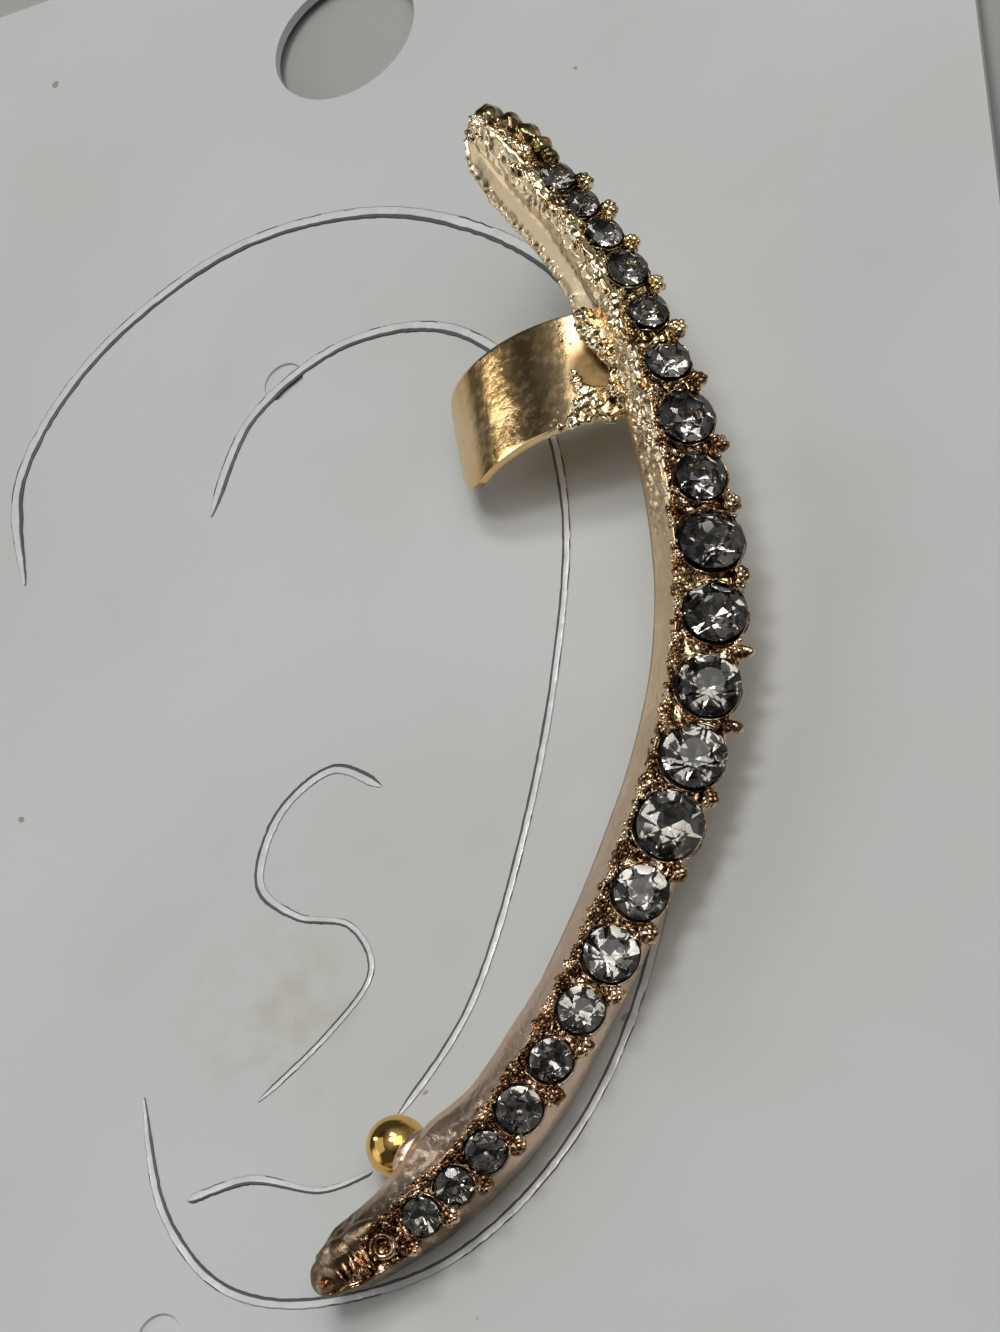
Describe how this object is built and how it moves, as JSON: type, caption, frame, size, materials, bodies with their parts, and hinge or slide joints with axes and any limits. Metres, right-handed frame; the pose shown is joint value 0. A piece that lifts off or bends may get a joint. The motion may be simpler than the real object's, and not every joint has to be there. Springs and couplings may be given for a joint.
{
  "type": "ear climber on a display card",
  "caption": "Curved gold-plated ear climber set with a graduated row of smoky crystals, with a cuff band and a ball stud, fixed to a pale display card.",
  "frame": {"origin": "middle of the card's width and length, at the level of the surface that the card rests on", "axes": "+X across the card to the side the bar bows out to, +Y up the card to the hang hole, +Z out of the card towards the stones; the card leans 4.2 degrees about X, because the ear post and its nut hold its lower half up"},
  "size_m": [0.065, 0.0958, 0.0128],
  "materials": {
    "gold_plating": "polished pale gold plating over cast metal",
    "smoky_crystal": "faceted smoky grey crystal",
    "card": "matt, slightly dimpled paperboard"
  },
  "bodies": {
    "root": {"climber_frame": "gold_plating", "stone_01": "smoky_crystal", "stone_02": "smoky_crystal", "stone_03": "smoky_crystal", "stone_04": "smoky_crystal", "stone_05": "smoky_crystal", "stone_06": "smoky_crystal", "stone_07": "smoky_crystal", "stone_08": "smoky_crystal", "stone_09": "smoky_crystal", "stone_10": "smoky_crystal", "stone_11": "smoky_crystal", "stone_12": "smoky_crystal", "stone_13": "smoky_crystal", "stone_14": "smoky_crystal", "stone_15": "smoky_crystal", "stone_16": "smoky_crystal", "stone_17": "smoky_crystal", "stone_18": "smoky_crystal", "stone_19": "smoky_crystal", "stone_20": "smoky_crystal", "stone_21": "smoky_crystal", "ear_nut": "gold_plating", "display_card": "card"}
  },
  "joints": []
}
